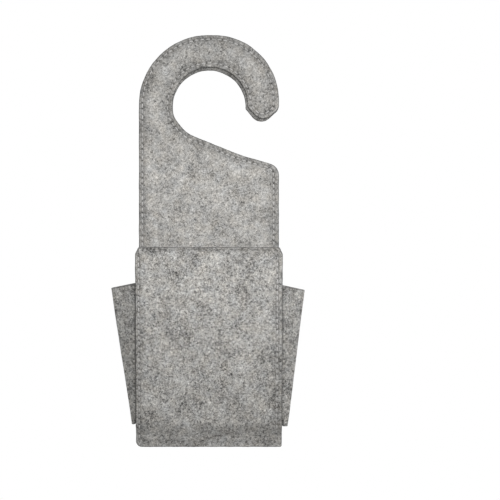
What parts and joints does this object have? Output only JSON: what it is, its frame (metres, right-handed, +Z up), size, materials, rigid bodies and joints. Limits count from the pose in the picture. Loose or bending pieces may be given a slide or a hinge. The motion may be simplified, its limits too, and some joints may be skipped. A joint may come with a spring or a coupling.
{
  "type": "hanging organizer",
  "caption": "Grey felt caddy that hangs by a hook cut into its doubled back panel, with a felt pocket on the front that opens on folded side gussets.",
  "frame": {"origin": "centre of the hook's round end, in the plane of the back face that lies against the door", "axes": "+Z up along the panel, +Y out of the back face towards the door, so the pocket faces -Y; +X to the right seen from the front, where the hook's mouth is"},
  "size_m": [0.163, 0.0494, 0.3499],
  "materials": {
    "felt": "matte mottled grey felt",
    "gusset_felt": "matte mottled grey felt, a shade darker",
    "thread": "grey polyester sewing thread"
  },
  "bodies": {
    "back": {"back_panel_front_layer": "felt", "back_panel_rear_layer": "felt", "panel_edge_stitches": "thread", "rear_face_stitches": "thread", "pocket_bottom_hem": "felt", "pocket_bottom_stitches": "thread", "left_gusset_rear_flange": "gusset_felt", "right_gusset_rear_flange": "gusset_felt", "left_gusset_rear_stitches": "thread", "right_gusset_rear_stitches": "thread"},
    "pocket_front": {"pocket_front_panel": "felt", "pocket_mouth_stitches": "thread", "left_pocket_side_stitches": "thread", "right_pocket_side_stitches": "thread", "left_gusset_front_flange": "gusset_felt", "right_gusset_front_flange": "gusset_felt"},
    "left_gusset_rear": {"left_gusset_rear_leaf": "gusset_felt"},
    "left_gusset_front": {"left_gusset_front_leaf": "gusset_felt"},
    "right_gusset_rear": {"right_gusset_rear_leaf": "gusset_felt"},
    "right_gusset_front": {"right_gusset_front_leaf": "gusset_felt"}
  },
  "joints": [
    {"name": "pocket_front_tilt", "type": "hinge", "parent": "back", "child": "pocket_front", "pos_m": [0, -0.00975, -0.28305], "axis": [1, 0, 0], "range_deg": [-8, 3]},
    {"name": "left_gusset_rear_bend", "type": "hinge", "parent": "back", "child": "left_gusset_rear", "pos_m": [-0.0618, -0.00975, -0.28305], "axis": [0, 0, 1], "range_deg": [-28.5, 11]},
    {"name": "left_gusset_fold", "type": "hinge", "parent": "left_gusset_rear", "child": "left_gusset_front", "pos_m": [-0.0618, -0.00975, -0.28305], "axis": [0.1303, 0.0993, -0.9865], "range_deg": [-57, 22]},
    {"name": "right_gusset_rear_bend", "type": "hinge", "parent": "back", "child": "right_gusset_rear", "pos_m": [0.0618, -0.00975, -0.28305], "axis": [0, 0, -1], "range_deg": [-28.5, 11]},
    {"name": "right_gusset_fold", "type": "hinge", "parent": "right_gusset_rear", "child": "right_gusset_front", "pos_m": [0.0618, -0.00975, -0.28305], "axis": [0.1303, -0.0993, 0.9865], "range_deg": [-57, 22]}
  ],
  "couplings": [
    {"joint": "left_gusset_rear_bend", "follows": "pocket_front_tilt", "ratio": 3.5},
    {"joint": "right_gusset_rear_bend", "follows": "pocket_front_tilt", "ratio": 3.5},
    {"joint": "left_gusset_fold", "follows": "pocket_front_tilt", "ratio": 7},
    {"joint": "right_gusset_fold", "follows": "pocket_front_tilt", "ratio": 7}
  ]
}
